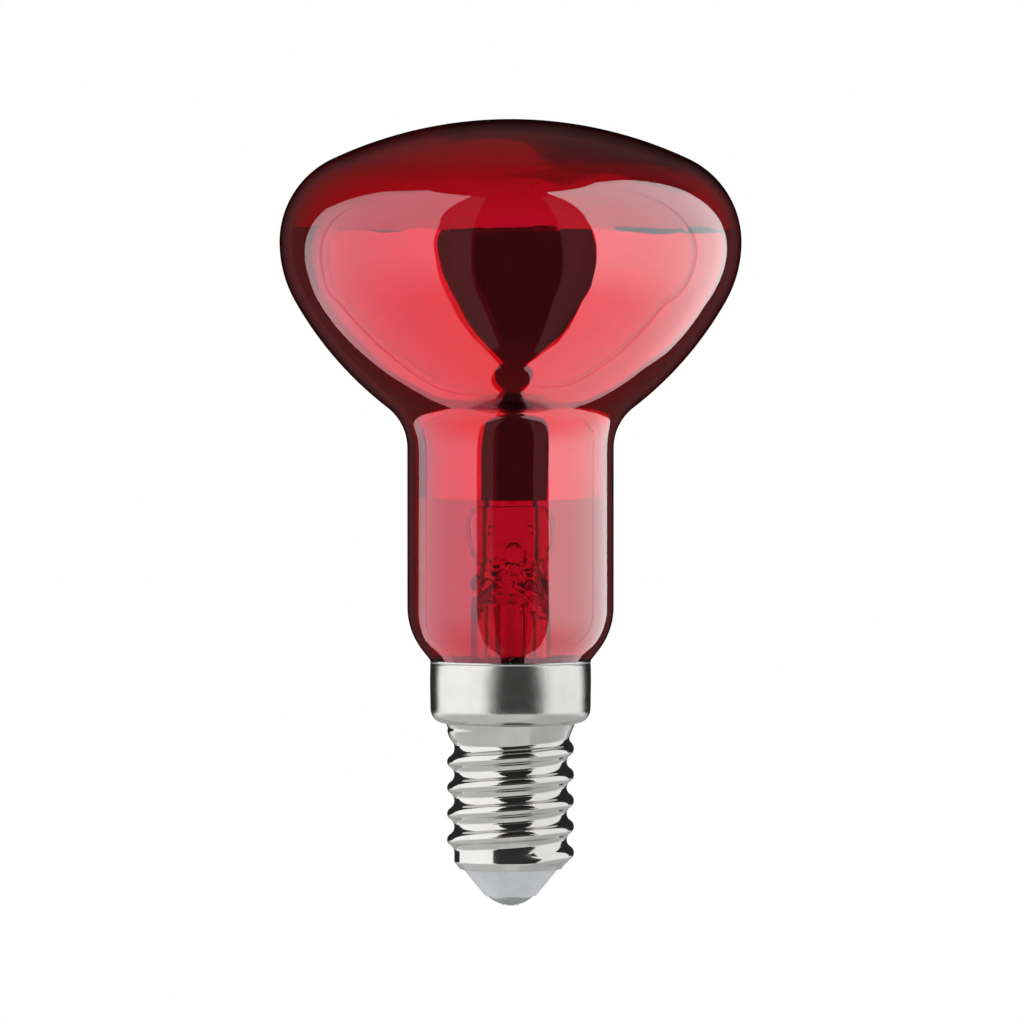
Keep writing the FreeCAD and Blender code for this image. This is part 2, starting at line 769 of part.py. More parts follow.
def make_outer_lead_side():
    """From the press, under the neck end, up through the cement and out of the notch in the rim."""
    taper = math.radians(d.taper_angle.value)
    low = (seal_end.value + skirt_floor.value + d.shell_wall.value) / 2
    climb_r = (seal_r.value + skirt_bore_r.value) / 2
    turn = rim.value - d.side_lead_fall.value
    tail = d.side_lead_tail.value
    route = [
        FreeCAD.Vector(-lead_offset.value, 0, press_foot.value),
        FreeCAD.Vector(-lead_offset.value, 0, low),
        FreeCAD.Vector(0, climb_r, low),
        FreeCAD.Vector(0, climb_r, turn),
        FreeCAD.Vector(0, climb_r + tail * math.sin(taper), turn + tail * math.cos(taper)),
    ]
    bends = [d.wire_bend.value] * 3
    return bent_wire("outer_lead_side", route, bends, d.outer_lead_diameter.value / 2)


def make_filament(start):
    filament = doc.addObject("Part::Torus", "filament")
    filament.Label = "filament"
    filament.setExpression("Radius1", filament_r.text)
    filament.setExpression("Radius2", coil_r.text)
    filament.setExpression("Angle3", (d.filament_span + d.filament_tail * 2).text)
    turned = FreeCAD.Rotation(FreeCAD.Vector(0, 0, 1), start - d.filament_tail.value)
    filament.Placement = FreeCAD.Placement(FreeCAD.Vector(0, 0, filament_level.value), turned)
    filament.setExpression("Placement.Base.z", filament_level.text)
    return filament


def make_seal_wires():
    wires = []
    for name, side in (("seal_wire_left", -1), ("seal_wire_right", 1)):
        wire = cylinder(name, d.seal_wire_diameter / 2, press_foot, d.press_height)
        wire.setExpression("Placement.Base.x", (lead_offset * side).text)
        wires.append(wire)
    return wires


def make_contact_solder(lead):
    plug = cylinder("solder_plug", d.solder_diameter / 2, zero, d.contact_height)
    return cut_away("contact_solder", plug, [lead])


def make_pieces():
    # the filament opens to the front, with a lead at each end and the supports evenly between
    first = 90 - d.filament_span.value / 2
    last = 90 + d.filament_span.value / 2
    step = d.filament_span.value / (support_count + 1)
    glass = make_glass_bulb()
    shell = make_cap_shell()
    seal_wires = make_seal_wires()
    supports = make_support_wires(first, step)
    centre_lead = make_outer_lead_centre()
    side_lead = make_outer_lead_side()
    doc.recompute()
    return [
        glass,
        make_mirror_coating(),
        make_stem_flare(seal_wires),
        make_exhaust_tube(),
        make_support_rod(supports),
        make_inner_lead("inner_lead_left", -1, last),
        make_inner_lead("inner_lead_right", 1, first),
        centre_lead,
        side_lead,
        make_filament(first),
        shell,
        make_cap_insulator(d.outer_lead_diameter / 2 + d.lead_clearance),
        make_contact_plate(),
        make_contact_solder(centre_lead),
        make_cap_cement(glass, side_lead),
        make_rim_solder([shell, side_lead]),
    ] + seal_wires + supports


pieces = make_pieces()
doc.recompute()

for item in doc.Objects:
    if "Invalid" in item.State or "Error" in item.State:
        raise RuntimeError("%s failed: %s" % (item.Label, item.State))
for piece in pieces:
    if piece.Shape.isNull() or not piece.Shape.isValid():
        raise RuntimeError("%s has no valid shape" % piece.Label)
    if len(piece.Shape.Solids) != 1:
        raise RuntimeError("%s has %d solids" % (piece.Label, len(piece.Shape.Solids)))

os.makedirs("parts", exist_ok=True)
for piece in pieces:
    piece.Shape.Solids[0].exportStep(os.path.join("parts", piece.Label + ".step"))
    print("%-20s %9.2f mm3" % (piece.Label, piece.Shape.Volume))
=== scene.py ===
import math

import bpy
import numpy as np
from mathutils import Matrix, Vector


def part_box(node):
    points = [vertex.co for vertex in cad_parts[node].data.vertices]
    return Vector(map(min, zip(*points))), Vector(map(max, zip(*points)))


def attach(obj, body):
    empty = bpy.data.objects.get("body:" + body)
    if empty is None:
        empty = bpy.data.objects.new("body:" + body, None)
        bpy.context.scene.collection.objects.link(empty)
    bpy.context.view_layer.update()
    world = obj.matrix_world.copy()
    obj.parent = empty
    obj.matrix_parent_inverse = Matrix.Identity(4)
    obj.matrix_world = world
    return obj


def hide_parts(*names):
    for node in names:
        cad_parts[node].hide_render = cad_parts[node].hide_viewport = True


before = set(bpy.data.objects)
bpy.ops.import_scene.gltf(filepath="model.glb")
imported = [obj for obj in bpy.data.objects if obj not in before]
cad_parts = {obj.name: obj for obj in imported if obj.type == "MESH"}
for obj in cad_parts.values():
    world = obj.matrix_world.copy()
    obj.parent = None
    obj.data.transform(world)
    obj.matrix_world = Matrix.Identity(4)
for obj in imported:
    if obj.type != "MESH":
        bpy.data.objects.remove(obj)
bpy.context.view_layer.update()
mm = 0.001


# Levels of the frame, in metres
glassLow, glassHigh = (np.array(corner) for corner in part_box("glass_bulb"))
shellLow, shellHigh = (np.array(corner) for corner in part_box("cap_shell"))
mirrorLow, mirrorHigh = (np.array(corner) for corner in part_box("mirror_coating"))
apex = glassHigh[2]
sealEnd = glassLow[2]
bulbRadius = min(-glassLow[0], glassHigh[0])
rim = shellHigh[2]
shellFoot = shellLow[2]
skirtRadius = shellHigh[0]


# Shader building

def grey(share):
    return (share, share, share)


class Sock:  # a socket that takes part in sums, each operator adding a Math node
    def __init__(self, finish, socket):
        self.finish = finish
        self.socket = socket

    def __add__(self, other):
        return self.finish.maths("ADD", self, other)

    def __sub__(self, other):
        return self.finish.maths("SUBTRACT", self, other)

    def __rsub__(self, other):
        return self.finish.maths("SUBTRACT", other, self)

    def __mul__(self, other):
        return self.finish.maths("MULTIPLY", self, other)

    def __lt__(self, other):
        return self.finish.maths("LESS_THAN", self, other)

    def __gt__(self, other):
        return self.finish.maths("GREATER_THAN", self, other)

    __radd__ = __add__
    __rmul__ = __mul__


class Finish:  # one node tree and the ways to fill it
    def __init__(self, holder):
        self.holder = holder
        holder.use_nodes = True
        self.tree = holder.node_tree
        self.tree.nodes.clear()

    def add(self, kind, settings, sockets, out=0):  # settings first, then socket values or links
        node = self.tree.nodes.new("ShaderNode" + kind)
        for name, value in settings.items():
            if name == "stops":
                self.setStops(node.color_ramp, value)
            else:
                setattr(node, name, value)
        for name, value in sockets.items():
            if isinstance(value, Sock):
                self.tree.links.new(value.socket, node.inputs[name])
            else:
                node.inputs[name].default_value = value
        return None if out is None else Sock(self, node.outputs[out])

    def setStops(self, ramp, stops):
        while len(ramp.elements) < len(stops):
            ramp.elements.new(1.0)
        for element, (place, colour) in zip(ramp.elements, stops):
            element.position = place
            element.color = (*colour, 1.0)

    def maths(self, operation, one, other):
        return self.add("Math", {"operation": operation}, {0: one, 1: other})

    def place(self):  # where a point of the piece is, in its own frame
        return self.add("TexCoord", {}, {}, "Object")

    def height(self):
        return self.add("SeparateXYZ", {}, {"Vector": self.place()}, "Z")

    def noise(self, size, detail):  # even grain of about this size, from 0 to 1
        return self.add("TexNoise", {}, {"Vector": self.place(), "Scale": 1.0 / size, "Detail": detail}, "Fac")

    def ramp(self, value, stops):
        return self.add("ValToRGB", {"stops": stops}, {"Fac": value})

    def bump(self, height, depth):
        return self.add("Bump", {}, {"Height": height, "Distance": depth, "Strength": 1.0})

    def show(self, shader, volume=None):
        ends = {"Surface": shader}
        if volume:
            ends["Volume"] = volume
        self.add("OutputMaterial", {}, ends, None)
        return self.holder


def newFinish(name):
    return Finish(bpy.data.materials.new(name))


# Mesh building

def meshPiece(name, points, quads, triangles, material, sharpAngle=40.0):
    mesh = bpy.data.meshes.new(name)
    corners = np.concatenate([quads.ravel(), triangles.ravel()]).astype(np.int32)
    starts = np.concatenate([np.arange(len(quads)) * 4, quads.size + np.arange(len(triangles)) * 3])
    mesh.vertices.add(len(points))
    mesh.vertices.foreach_set("co", np.ascontiguousarray(points, np.float32).ravel())
    mesh.loops.add(len(corners))
    mesh.loops.foreach_set("vertex_index", corners)
    mesh.polygons.add(len(starts))
    mesh.polygons.foreach_set("loop_start", starts.astype(np.int32))
    mesh.update(calc_edges=True)
    mesh.validate()
    mesh.shade_smooth()
    mesh.set_sharp_from_angle(angle=math.radians(sharpAngle))
    mesh.materials.append(material)
    piece = bpy.data.objects.new(name, mesh)
    bpy.context.scene.collection.objects.link(piece)
    return piece


# Rings of points are joined each to the next, counter-clockwise seen from above and going up the outside.
# A ring that has shrunk to one point becomes a pole
def ringPiece(name, rings, material, closed=False, sharpAngle=40.0):
    count, around = rings.shape[:2]
    pole = np.ptp(rings, axis=1).max(axis=1) < 1e-9
    first = np.concatenate([[0], np.cumsum(np.where(pole, 1, around))])
    points = np.concatenate([ring[:1] if single else ring for ring, single in zip(rings, pole)])
    step = np.arange(around)
    onward = (step + 1) % around
    quads, triangles = [np.empty((0, 4), int)], [np.empty((0, 3), int)]
    for low in range(count if closed else count - 1):
        high = (low + 1) % count
        a, b = first[low], first[high]
        if pole[low] and pole[high]:
            continue
        if pole[low]:
            triangles.append(np.stack([a + 0 * step, b + onward, b + step], 1))
        elif pole[high]:
            triangles.append(np.stack([a + step, a + onward, b + 0 * step], 1))
        else:
            quads.append(np.stack([a + step, a + onward, b + onward, b + step], 1))
    return meshPiece(name, points, np.concatenate(quads), np.concatenate(triangles), material, sharpAngle)


def turns(around):
    return np.linspace(0, 2 * np.pi, around, endpoint=False)


# A turned surface: each ring is at a radius and a height, which may be given all round or once
def turnedRings(radius, height, around, shift=0.0):
    angle = turns(around)[None, :]
    radius = np.broadcast_to(np.asarray(radius).reshape(len(radius), -1), (len(radius), around))
    height = np.broadcast_to(np.asarray(height).reshape(len(height), -1), (len(height), around))
    return np.stack([radius * np.cos(angle) + shift, radius * np.sin(angle), height], 2)


# Points along a chain of straight runs (start, end) and arcs (centre, radius, first angle, last angle)
def chainPoints(chain, spacing):
    stretches = []
    for link in chain:
        if len(link) == 2:
            start, end = np.array(link[0]), np.array(link[1])
            share = np.linspace(0, 1, max(2, int(np.linalg.norm(end - start) / spacing) + 1))[:, None]
            stretches.append(start + (end - start) * share)
        else:
            centre, radius, first, last = link
            angle = np.linspace(first, last, max(4, int(abs(last - first) * radius / spacing) + 1))
            stretches.append(np.stack([centre[0] + radius * np.cos(angle), centre[1] + radius * np.sin(angle)], 1))
    line = np.concatenate(stretches)
    keep = np.concatenate([[True], np.linalg.norm(np.diff(line, axis=0), axis=1) > 1e-7])
    return line[keep]


def runLength(line):
    return np.concatenate([[0], np.cumsum(np.linalg.norm(np.diff(line, axis=0), axis=1))])


def evenPoints(line, count):
    run = runLength(line)
    at = np.linspace(0, run[-1], count)
    return np.stack([np.interp(at, run, line[:, 0]), np.interp(at, run, line[:, 1])], 1)


# A seeded wave over a turned surface: a sum of ripples, each so many times round and so long along the profile
def ripple(angle, run, seed, reach, roundMost, longest):
    draw = np.random.default_rng(seed)
    ripples = 14
    total = 0.0
    for _ in range(ripples):
        often = draw.integers(0, roundMost + 1)
        length = longest * draw.uniform(0.25, 1.0)
        total = total + np.cos(often * angle + 2 * np.pi * run / length + draw.uniform(0, 2 * np.pi))
    return reach * total / math.sqrt(ripples)


# Finishes

def makeRedGlass():
    m = newFinish("red_glass")
    wave = m.bump(m.noise(9 * mm, 1.0), 0.012 * mm)
    side = m.add("SeparateXYZ", {}, {"Vector": m.place()}, "X")
    drift = m.noise(16 * mm, 2.0) + m.height() * 60.0 + side * 12.0
    cloud = m.ramp(drift - 4.95, [(0.50, grey(1.0)), (0.55, grey(0.50))])  # grey clouds in the glass's base colour over the top of the dome, reaching lower on its +X side
    surface = m.add("BsdfPrincipled", {}, {
        "Base Color": cloud, "Roughness": 0.0, "IOR": 1.5, "Transmission Weight": 1.0, "Normal": wave})
    red = m.add("VolumeAbsorption", {}, {"Color": (0.81, 0.01, 0.36, 1), "Density": 5000.0})
    return m.show(surface, red)


def makeMirrorFilm():
    m = newFinish("mirror_film")
    cloud = m.noise(4 * mm, 4.0)
    tint = m.ramp(cloud, [(0.3, (0.90, 0.89, 0.87)), (0.7, (0.95, 0.945, 0.93))])
    surface = m.add("BsdfPrincipled", {}, {
        "Base Color": tint, "Metallic": 1.0, "Roughness": cloud * 0.02 + 0.01,
        "Normal": m.bump(m.noise(2.5 * mm, 2.0), 0.004 * mm)})
    return m.show(surface)


def makeClearGlass():
    m = newFinish("clear_glass")
    wave = m.bump(m.noise(1.6 * mm, 3.0), 0.05 * mm)
    surface = m.add("BsdfPrincipled", {}, {
        "Base Color": (1, 1, 1, 1), "Roughness": 0.0, "IOR": 1.52, "Transmission Weight": 1.0, "Normal": wave})
    return m.show(surface)


def makeNickel():
    m = newFinish("nickelled_shell")
    grain = m.noise(0.14 * mm, 3.0)
    cloud = m.noise(3 * mm, 4.0)
    tint = m.ramp(cloud, [(0.3, (0.54, 0.535, 0.52)), (0.7, (0.60, 0.595, 0.58))])
    onSkirt = m.ramp(m.height() * (1 / rim), [(0.70, grey(0.0)), (0.78, grey(1.0))])  # the skirt is duller
    surface = m.add("BsdfPrincipled", {}, {
        "Base Color": tint, "Metallic": 1.0, "Roughness": onSkirt * 0.07 + (cloud * 0.04 + 0.08),
        "Normal": m.bump(grain * onSkirt, 0.02 * mm)})
    return m.show(surface)


def makeInsulator():
    m = newFinish("insulator")
    cloud = m.noise(1.5 * mm, 5.0)
    tint = m.ramp(cloud, [(0.25, (0.46, 0.475, 0.495)), (0.75, (0.53, 0.545, 0.565))])
    surface = m.add("BsdfPrincipled", {}, {
        "Base Color": tint, "Roughness": cloud * 0.15 + 0.30, "Coat Weight": 0.25,
        "Normal": m.bump(m.noise(0.5 * mm, 3.0), 0.01 * mm)})
    return m.show(surface)


def makeContactMetal():
    m = newFinish("contact_metal")
    cloud = m.noise(0.9 * mm, 4.0)
    tint = m.ramp(cloud, [(0.3, (0.50, 0.51, 0.51)), (0.7, (0.60, 0.61, 0.61))])
    surface = m.add("BsdfPrincipled", {}, {
        "Base Color": tint, "Metallic": 1.0, "Roughness": cloud * 0.2 + 0.40,
        "Normal": m.bump(m.noise(0.3 * mm, 3.0), 0.01 * mm)})
    return m.show(surface)


def makeWireMetal(name, dark, light, roughness):
    m = newFinish(name)
    cloud = m.noise(0.5 * mm, 4.0)
    tint = m.ramp(cloud, [(0.3, dark), (0.7, light)])
    surface = m.add("BsdfPrincipled", {}, {
        "Base Color": tint, "Metallic": 1.0, "Roughness": cloud * 0.2 + roughness,
        "Normal": m.bump(m.noise(0.08 * mm, 2.0), 0.004 * mm)})
    return m.show(surface)


def makeCement():
    m = newFinish("cement")
    cloud = m.noise(0.4 * mm, 6.0)
    tint = m.ramp(cloud, [(0.3, (0.42, 0.38, 0.31)), (0.7, (0.56, 0.52, 0.44))])
    surface = m.add("BsdfPrincipled", {}, {
        "Base Color": tint, "Roughness": 0.9, "Normal": m.bump(cloud, 0.08 * mm)})
    return m.show(surface)


redGlass = makeRedGlass()
mirrorFilm = makeMirrorFilm()
clearGlass = makeClearGlass()
nickel = makeNickel()
insulatorGlaze = makeInsulator()
contactMetal = makeContactMetal()
solder = makeWireMetal("solder", (0.55, 0.55, 0.54), (0.74, 0.74, 0.72), 0.40)
leadWire = makeWireMetal("lead_wire", (0.34, 0.33, 0.31), (0.48, 0.47, 0.44), 0.25)
copperWire = makeWireMetal("copper_wire", (0.48, 0.22, 0.11), (0.66, 0.34, 0.20), 0.25)
tungsten = makeWireMetal("tungsten", (0.10, 0.10, 0.11), (0.18, 0.18, 0.19), 0.35)
cement = makeCement()
print("finishes made")

# Blown red glass bulb

bulb = {
    "wall": 0.8 * mm,
    "equator": 71.82 * mm,
    "shoulderRadius": 9.95 * mm,
    "bellyRadius": 13.0 * mm,
    "bellyAngle": math.radians(29.5),
    "flankRadius": 38.4 * mm,
    "throatRadius": 5.5 * mm,
    "neckRadius": 11.17 * mm,
    "cornerRadius": 7.5 * mm,
    "taperAngle": math.radians(38.0),
    "taperInset": 0.29 * mm,  # the taper passes the rim this far inside the skirt
    "sealFillet": 1.5 * mm,
    "sealRadius": 7.56 * mm,
    "around": 240,
    "rings": 150,
    "lean": 0.05 * mm,  # the inside is a little off centre, as in any blown bulb
    "wave": 0.006 * mm,
    "waveLength": 20 * mm,
    "waveRound": 18,  # most ripples round the bulb
}


# The bulb's outline from the seal up to the apex, moved in from the outer skin: a chain of tangent
# arcs, dome, shoulder, belly, flank and throat, and the straight neck with its tapered end
def bulbOutline(inset, spacing=0.15 * mm):
    b = bulb
    reach = bulbRadius - b["shoulderRadius"]
    rise = apex - b["equator"] - inset
    shoulder = b["shoulderRadius"] - inset
    dome = (reach ** 2 + rise ** 2 - shoulder ** 2) / (2 * (rise - shoulder))
    domeLevel = b["equator"] + rise - dome
    meet = math.atan2(b["equator"] - domeLevel, reach)
    bellyCentre = np.array([bulbRadius - b["bellyRadius"], b["equator"]])
    outward = np.array([math.cos(b["bellyAngle"]), -math.sin(b["bellyAngle"])])
    flankCentre = bellyCentre + outward * (b["bellyRadius"] - b["flankRadius"])
    across = b["neckRadius"] + b["throatRadius"] - flankCentre[0]
    drop = math.sqrt((b["flankRadius"] + b["throatRadius"]) ** 2 - across ** 2)
    swing = math.atan2(drop, across)
    throatCentre = flankCentre + [across, -drop]
    taper = b["taperAngle"]
    taperOut = np.array([math.cos(taper), -math.sin(taper)])
    cornerX = b["neckRadius"] - b["cornerRadius"]
    overRim = (cornerX + b["cornerRadius"] * math.cos(taper) - skirtRadius + b["taperInset"]) / math.tan(taper)
    cornerCentre = np.array([cornerX, rim + overRim + b["cornerRadius"] * math.sin(taper)])
    bend = cornerCentre + taperOut * b["cornerRadius"]
    filletX = b["sealRadius"] + b["sealFillet"]
    filletLevel = bend[1] + ((filletX - bend[0]) * math.cos(taper) - b["sealFillet"]) / math.sin(taper)
    filletCentre = np.array([filletX, filletLevel])
    neckX = b["neckRadius"] - inset
    sealX = b["sealRadius"] - inset
    fillet = b["sealFillet"] + inset
    return chainPoints([
        ((sealX, sealEnd), (sealX, filletLevel)),
        (filletCentre, fillet, math.pi, math.pi - taper),
        (filletCentre - taperOut * fillet, cornerCentre + taperOut * (b["cornerRadius"] - inset)),
        (cornerCentre, b["cornerRadius"] - inset, -taper, 0),
        ((neckX, cornerCentre[1]), (neckX, throatCentre[1])),
        (throatCentre, b["throatRadius"] + inset, math.pi, math.pi - swing),
        (flankCentre, b["flankRadius"] - inset, -swing, -b["bellyAngle"]),
        (bellyCentre, b["bellyRadius"] - inset, -b["bellyAngle"], 0),
        ((reach, b["equator"]), shoulder, 0, meet),
        ((0.0, domeLevel), dome, meet, math.pi / 2),
    ], spacing)


# The inside wanders a little from the outside, by a slow wave that fades out at both ends
def insideWave(angle, run, length):
    fade = np.sin(np.pi * np.clip(run / length, 0, 1)) ** 0.5
    return fade * ripple(angle, run, 7, bulb["wave"], bulb["waveRound"], bulb["waveLength"])


def makeGlassBulb():
    outer = evenPoints(bulbOutline(0.0), bulb["rings"])
    outer[-1, 0] = 0.0
    inner = evenPoints(bulbOutline(bulb["wall"]), bulb["rings"])
    inner[-1, 0] = 0.0
    angle = turns(bulb["around"])[None, :]
    run = runLength(inner)[:, None]
    radius = np.maximum(inner[:, :1] - insideWave(angle, run, run[-1]), 0)
    radius[-1] = 0.0
    lean = bulb["lean"] * np.sin(np.pi * run / run[-1])
    skin = turnedRings(outer[:, 0], outer[:, 1], bulb["around"])
    lining = turnedRings(radius, inner[:, 1], bulb["around"], lean)
    return ringPiece("bulb_glass", np.concatenate([skin, lining[::-1]]), redGlass, closed=True)


# Mirror inside the glass

mirror = {
    "gap": 0.22 * mm,
    "lean": 0.25 * mm,
    "film": 0.05 * mm,
    "rings": 110,
    "around": 360,
    "topDrop": 0.9 * mm,
    "tear": 0.55 * mm,  # how far the torn upper edge strays
    "tearLength": 5.0 * mm,
    "fray": 0.12 * mm,
    "footWave": 0.45 * mm,  # the lower edge hangs lower in front
}


# A torn edge: straight tears between seeded points round the rim, with a finer fray on them
def tornEdge(angle):
    draw = np.random.default_rng(21)
    count = int(2 * math.pi * bulbRadius / mirror["tearLength"])
    places = np.sort(draw.uniform(0, 2 * np.pi, count))
    heights = draw.uniform(-0.7, 0.7, count) * mirror["tear"]
    torn = np.interp(angle, places, heights, period=2 * np.pi)
    finePlaces = np.sort(draw.uniform(0, 2 * np.pi, 5 * count))
    fray = np.interp(angle, finePlaces, draw.uniform(-1, 1, 5 * count), period=2 * np.pi)
    return torn + fray * mirror["fray"]


def makeMirror():
    angle = turns(mirror["around"])[None, :]
    share = np.linspace(0, 1, mirror["rings"])[:, None]
    skins = []
    for inset in (bulb["wall"] + mirror["gap"], bulb["wall"] + mirror["gap"] + mirror["film"]):
        line = bulbOutline(inset)
        run = runLength(line)
        foot = np.interp(mirrorLow[2], line[:, 1], run) + mirror["footWave"] * np.sin(angle)
        top = np.interp(mirrorHigh[2] - mirror["topDrop"], line[:, 1], run) + tornEdge(angle)
        at = foot + (top - foot) * share
        radius = np.interp(at, run, line[:, 0]) - insideWave(angle, at, run[-1])
        lean = mirror["lean"] * np.sin(np.pi * at / run[-1])
        skins.append(turnedRings(radius, np.interp(at, run, line[:, 1]), mirror["around"], lean))
    return ringPiece("mirror_film", np.concatenate([skins[0], skins[1][::-1]]), mirrorFilm, closed=True)


# Drawn and rolled cap

cap = {
    "wall": 0.25 * mm,
    "curl": 0.85 * mm,
    "curlRadius": 5.24 * mm,
    "crestRadius": 6.87 * mm,
    "threadDepth": 0.78 * mm,
    "pitch": 2.82 * mm,
    "firstCrest": 5.69 * mm,  # height of the crest where it passes the +X side
    "crestRound": 0.70 * mm,
    "threadFoot": 0.1 * mm,
    "fadeIn": (-0.24, 0.0),  # turns over which the ridge rises and sinks again
    "fadeOut": (4.1, 4.75),
    "collarFoot": 17.4 * mm,
    "collarBreak": (6.2 * mm, 17.75 * mm),
    "collarRadius": 6.92 * mm,
    "footCorner": 0.3 * mm,
    "rimRise": 0.35 * mm,
    "skirtFloor": 19.75 * mm,
    "collarFillet": 0.2 * mm,
    "skirtCorner": 1.6 * mm,
    "flareFoot": math.tan(math.radians(3.5)),  # how fast the skirt widens above its corner
    "flareRim": math.tan(math.radians(2.5)),  # and closes again at its rim
    "lip": 0.04 * mm,
    "lipHeight": 0.28 * mm,
    "groove": 0.05 * mm,
    "grooveWidth": 0.07 * mm,
    "around": 256,
    "spacing": 0.085 * mm,
}


# Height of the ridge beside its crest: a round crest that runs into a round valley on a common tangent
def ridgeHeight(beside):
    half = cap["pitch"] / 2
    depth = cap["threadDepth"]
    both = (half ** 2 + depth ** 2) / (2 * depth)  # crest and valley radii together
    crest = cap["crestRound"]
    valley = both - crest
    turn = crest * half / both
    onCrest = depth - crest + np.sqrt(np.maximum(crest ** 2 - beside ** 2, 0))
    inValley = valley - np.sqrt(np.maximum(valley ** 2 - (half - beside) ** 2, 0))
    return np.where(beside < turn, onCrest, inValley)


def smooth(value, low, high):
    share = np.clip((value - low) / (high - low), 0, 1)
    return share * share * (3 - 2 * share)


# The ridge climbs one pitch a turn. A point belongs to the nearest crest, and how many turns along the
# thread that crest is there says how far it has risen or sunk
def threadRise(angle, height):
    passed = (height - cap["firstCrest"]) / cap["pitch"] - angle / (2 * np.pi)
    nearest = np.round(passed)
    beside = np.abs(passed - nearest) * cap["pitch"]
    along = nearest + angle / (2 * np.pi)
    full = smooth(along, *cap["fadeIn"]) * (1 - smooth(along, *cap["fadeOut"]))
    return ridgeHeight(beside) * full


# The cap's profile is turned, the ridge is added on the screw, the skirt bows by a slope that changes evenly
# from its corner to its rim, and a groove runs round under its lip
def makeCapShell():
    c = cap
    root = c["crestRadius"] - c["threadDepth"]
    collar, floor, corner, fillet = c["collarRadius"], c["skirtFloor"], c["skirtCorner"], c["collarFillet"]
    top = rim + c["rimRise"]
    quarter = math.pi / 2
    cornerLevel = shellFoot + c["curl"]
    bend = c["footCorner"]
    outside = chainPoints([
        ((c["curlRadius"], shellFoot), (c["curlRadius"] + c["curl"] / 3, shellFoot)),
        ((c["curlRadius"] + c["curl"] / 3, shellFoot), (root - bend * 0.3, cornerLevel - bend * 0.7)),
        ((root - bend, cornerLevel), bend, -quarter / 2, 0),
        ((root, cornerLevel), (root, c["collarFoot"])),
        ((root, c["collarFoot"]), c["collarBreak"]),
        (c["collarBreak"], (collar, floor - fillet)),
        ((collar + fillet, floor - fillet), fillet, math.pi, quarter),
        ((collar + fillet, floor), (skirtRadius - corner, floor)),
        ((skirtRadius - corner, floor + corner), corner, -quarter, 0),
        ((skirtRadius, floor + corner), (skirtRadius, top - c["lipHeight"] * 2)),
    ], c["spacing"])
    lipRun = chainPoints([((skirtRadius, top - c["lipHeight"] * 2), (skirtRadius, top))], c["spacing"] / 3)
    outside = np.concatenate([outside, lipRun[1:]])
    angle = turns(c["around"])[None, :]
    height = outside[:, 1:] + 0 * angle
    aboveFoot = smooth(height, shellFoot + c["threadFoot"], cornerLevel)
    belowSkirt = 1 - smooth(height, floor - 4 * fillet, floor - 2 * fillet)
    radius = outside[:, :1] + threadRise(angle, height) * (aboveFoot * belowSkirt)
    straight = top - floor - corner
    rising = np.clip((height - floor - corner) / straight, 0, 1)
    flare = c["flareFoot"] * (1 - rising) ** 2 / 2 - c["flareRim"] * (1 - rising ** 2) / 2
    radius = radius - straight * flare * smooth(height, floor, floor + corner)
    lipRise = smooth(height, top - c["lipHeight"], top - c["lipHeight"] / 2)
    radius = radius - c["lip"] * (1 - lipRise) * smooth(height, floor + corner, floor + 2 * corner)
    radius = radius - c["groove"] * np.exp(-((height - top + c["lipHeight"]) / c["grooveWidth"]) ** 2)
    inner = root - c["wall"] * 2
    lining = np.array([
        [skirtRadius - c["wall"], top], [skirtRadius - c["wall"] - c["lip"], floor + corner],
        [collar - c["wall"] * 2, floor], [inner, c["collarFoot"]], [inner, cornerLevel],
        [c["curlRadius"], shellFoot + c["wall"]]])
    skin = turnedRings(radius, height, c["around"])
    back = turnedRings(lining[:, 0], lining[:, 1], c["around"])
    return ringPiece("cap_metal", np.concatenate([skin, back]), nickel, closed=True, sharpAngle=60.0)


# Glass insulator and contact under the cap

insulator = {
    "hole": 0.45 * mm,
    "tip": 2.9 * mm,
    "tipRound": 0.35 * mm,
    "slope": math.radians(38),
    "lip": 5.2 * mm,
    "lipFoot": 0.05 * mm,  # these three are heights above the shell's foot
    "lipTop": 0.27 * mm,
    "shoulderFoot": 0.9 * mm,
    "shoulder": 5.8 * mm,
    "foot": 0.98 * mm,
    "top": 6.25 * mm,
    "around": 128,
    "spacing": 0.12 * mm,
}


# A turned cone: flat foot, round edge, sloping side, lip against the shell and a plug inside it
def makeInsulatorPiece():
    i = insulator
    bend = i["tip"] - i["tipRound"]
    side = (bend + i["tipRound"] * math.cos(i["slope"]), i["foot"] + i["tipRound"] * (1 - math.sin(i["slope"])))
    lipFoot, lipTop, shoulderFoot = (shellFoot + i[key] for key in ("lipFoot", "lipTop", "shoulderFoot"))
    line = chainPoints([
        ((i["hole"], i["foot"]), (bend, i["foot"])),
        ((bend, i["foot"] + i["tipRound"]), i["tipRound"], -math.pi / 2, -i["slope"]),
        (side, (i["lip"], lipFoot)),
        ((i["lip"], lipFoot), (i["lip"], lipTop)),
        ((i["lip"], lipTop), (i["shoulder"], shoulderFoot)),
        ((i["shoulder"], shoulderFoot), (i["shoulder"], i["top"])),
        ((i["shoulder"], i["top"]), (i["hole"], i["top"])),
    ], i["spacing"])
    return ringPiece("insulator_cone", turnedRings(line[:, 0], line[:, 1], i["around"]), insulatorGlaze, closed=True)


contact = {
    "edge": 2.35 * mm,
    "level": 0.86 * mm,
    "top": 0.98 * mm,
    "around": 96,
    "spacing": 0.08 * mm,
}


